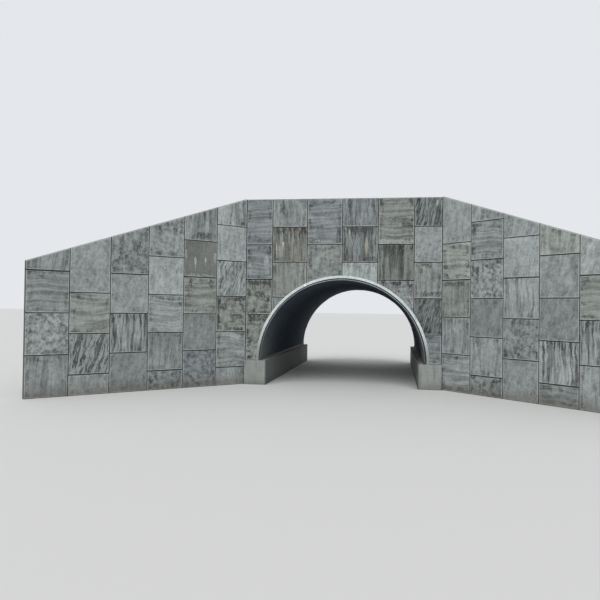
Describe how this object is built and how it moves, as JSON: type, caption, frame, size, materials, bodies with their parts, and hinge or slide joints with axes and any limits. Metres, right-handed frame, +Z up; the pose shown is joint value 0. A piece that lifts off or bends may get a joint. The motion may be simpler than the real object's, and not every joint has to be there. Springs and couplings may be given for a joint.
{
  "type": "culvert headwall",
  "caption": "Culvert headwall of stacked concrete panels with flared wing walls round the mouth of a corrugated steel plate arch on strip footings.",
  "frame": {"origin": "on the axis of the barrel, at the front plane of the straight face, at the level where the walls and footings meet the ground", "axes": "+X to the right as seen from the stream in front, +Y into the bank along the barrel, +Z up"},
  "size_m": [21.1408, 19.0382, 8.0081],
  "materials": {
    "panel_concrete": "formed concrete, weathered and streaked",
    "footing_concrete": "board-marked cast concrete",
    "plate_steel": "galvanised, dulled",
    "galvanised_steel": "bright galvanised",
    "black_rubber": "matt",
    "filter_fabric": "needle-punched felt"
  },
  "bodies": {
    "root": {"face_column_1": "panel_concrete", "face_column_2": "panel_concrete", "face_column_3": "panel_concrete", "face_column_4": "panel_concrete", "face_column_5": "panel_concrete", "face_column_6": "panel_concrete", "left_wing_column_1": "panel_concrete", "left_wing_column_2": "panel_concrete", "left_wing_column_3": "panel_concrete", "left_wing_column_4": "panel_concrete", "left_wing_column_5": "panel_concrete", "left_wing_column_6": "panel_concrete", "right_wing_column_1": "panel_concrete", "right_wing_column_2": "panel_concrete", "right_wing_column_3": "panel_concrete", "right_wing_column_4": "panel_concrete", "right_wing_column_5": "panel_concrete", "right_wing_column_6": "panel_concrete", "left_footing": "footing_concrete", "right_footing": "footing_concrete", "left_base_channel": "galvanised_steel", "right_base_channel": "galvanised_steel", "barrel_ring_1_inner_plates": "plate_steel", "barrel_ring_1_outer_plates": "plate_steel", "barrel_ring_2_inner_plates": "plate_steel", "barrel_ring_2_outer_plates": "plate_steel", "barrel_ring_3_inner_plates": "plate_steel", "barrel_ring_3_outer_plates": "plate_steel", "barrel_ring_4_inner_plates": "plate_steel", "barrel_ring_4_outer_plates": "plate_steel", "end_ring_left": "galvanised_steel", "end_ring_crown": "galvanised_steel", "end_ring_right": "galvanised_steel", "barrel_joint_filler": "black_rubber", "bearing_pads": "black_rubber", "joint_filter_cloth": "filter_fabric"}
  },
  "joints": []
}
